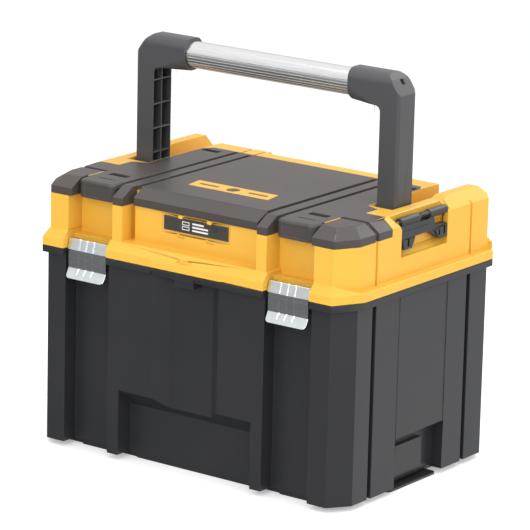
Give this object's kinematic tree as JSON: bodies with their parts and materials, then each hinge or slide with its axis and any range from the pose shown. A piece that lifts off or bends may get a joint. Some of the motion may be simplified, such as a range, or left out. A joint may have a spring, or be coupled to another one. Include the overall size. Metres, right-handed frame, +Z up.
{
  "type": "toolbox with tray",
  "caption": "Deep stackable tool box with a hinged lid, sheet-metal front latches, side clips, a fold-down carry handle and a lift-out tray.",
  "frame": {"origin": "middle of the rim outline, on the surface the box stands on", "axes": "+X to the right along the front, +Y from the front to the hinge at the back, +Z up"},
  "size_m": [0.44, 0.3161, 0.462],
  "materials": {
    "black_plastic": "textured",
    "cover_plastic": "fine textured",
    "yellow_plastic": "satin",
    "zinc_plate": "zinc plated",
    "aluminium_tube": "fluted, satin",
    "steel": "plain",
    "seal_rubber": "matt",
    "clear_plastic": "clear",
    "card": "printed card"
  },
  "bodies": {
    "base": {"box_body": "black_plastic", "lid_hinge_pins": "steel"},
    "lid": {"lid_shell": "yellow_plastic", "top_cover": "cover_plastic", "corner_cap_left": "cover_plastic", "corner_cap_right": "cover_plastic", "cover_badge": "yellow_plastic", "cover_screws": "steel", "lid_seal": "seal_rubber", "label_window": "clear_plastic", "label_card": "card", "front_latch_pins": "steel", "side_clip_pins": "steel", "side_clip_springs": "steel", "handle_pivot_pins": "steel"},
    "handle": {"handle_arm_left": "black_plastic", "handle_arm_right": "black_plastic", "handle_tube": "aluminium_tube", "handle_tube_screws": "steel"},
    "latch_left": {"front_latch_left": "zinc_plate"},
    "latch_right": {"front_latch_right": "zinc_plate"},
    "clip_left": {"side_clip_left": "black_plastic"},
    "clip_right": {"side_clip_right": "black_plastic"},
    "tray": {"tray": "black_plastic"}
  },
  "joints": [
    {"name": "lid_hinge", "type": "hinge", "parent": "base", "child": "lid", "pos_m": [0, 0.157, 0.236], "axis": [-1, 0, 0], "range_deg": [0, 100]},
    {"name": "handle_fold", "type": "hinge", "parent": "lid", "child": "handle", "pos_m": [0, 0.002, 0.303], "axis": [-1, 0, 0], "range_deg": [0, 90]},
    {"name": "latch_left_swing", "type": "hinge", "parent": "lid", "child": "latch_left", "pos_m": [-0.14, -0.1386, 0.2435], "axis": [-1, 0, 0], "range_deg": [0, 110]},
    {"name": "latch_right_swing", "type": "hinge", "parent": "lid", "child": "latch_right", "pos_m": [0.14, -0.1386, 0.2435], "axis": [-1, 0, 0], "range_deg": [0, 110]},
    {"name": "clip_left_swing", "type": "hinge", "parent": "lid", "child": "clip_left", "pos_m": [-0.2066, 0, 0.307], "axis": [0, 1, 0], "range_deg": [0, 150], "stiffness_Nm_per_rad": 0.01},
    {"name": "clip_right_swing", "type": "hinge", "parent": "lid", "child": "clip_right", "pos_m": [0.2066, 0, 0.307], "axis": [0, -1, 0], "range_deg": [0, 150], "stiffness_Nm_per_rad": 0.01},
    {"name": "tray_lift", "type": "slide", "parent": "base", "child": "tray", "axis": [0, 0, 1], "range_m": [0, 0.16]}
  ],
  "couplings": [
    {"joint": "tray_lift", "follows": "lid_hinge", "m_per_rad": 0.09}
  ]
}
